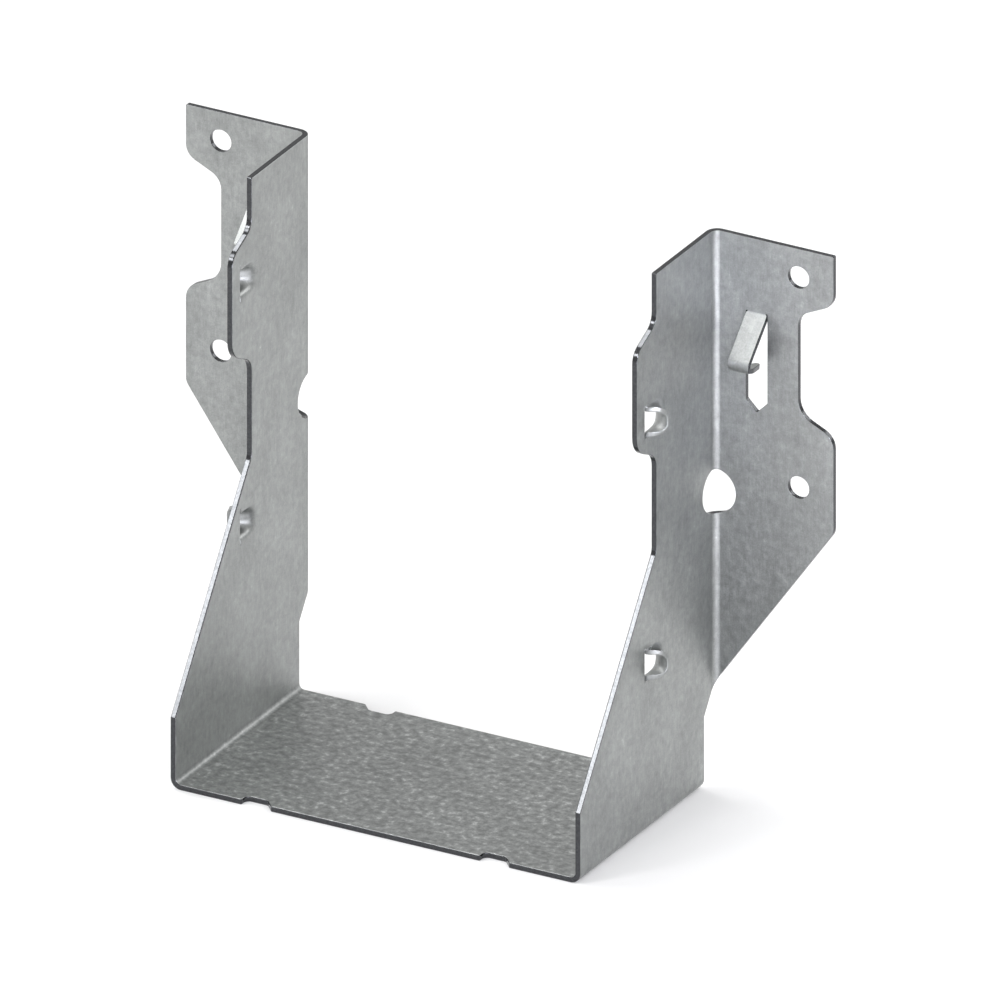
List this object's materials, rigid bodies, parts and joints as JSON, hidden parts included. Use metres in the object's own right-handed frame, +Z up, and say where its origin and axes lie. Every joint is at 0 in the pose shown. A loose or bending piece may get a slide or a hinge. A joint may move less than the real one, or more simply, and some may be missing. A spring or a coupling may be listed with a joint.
{
  "type": "joist hanger",
  "caption": "Face-mount joist hanger folded from one galvanised sheet, with nail flanges, speed prongs and nail guides.",
  "frame": {"origin": "middle of the footprint, on the underside of the seat", "axes": "+Z up; +Y from the joist towards the header, which the backs of the flanges lie against; +X along the header, across the joist"},
  "size_m": [0.1468, 0.0562, 0.1211],
  "materials": {
    "galvanised_steel": "matt galvanised, faintly mottled"
  },
  "bodies": {
    "root": {"hanger": "galvanised_steel"}
  },
  "joints": []
}
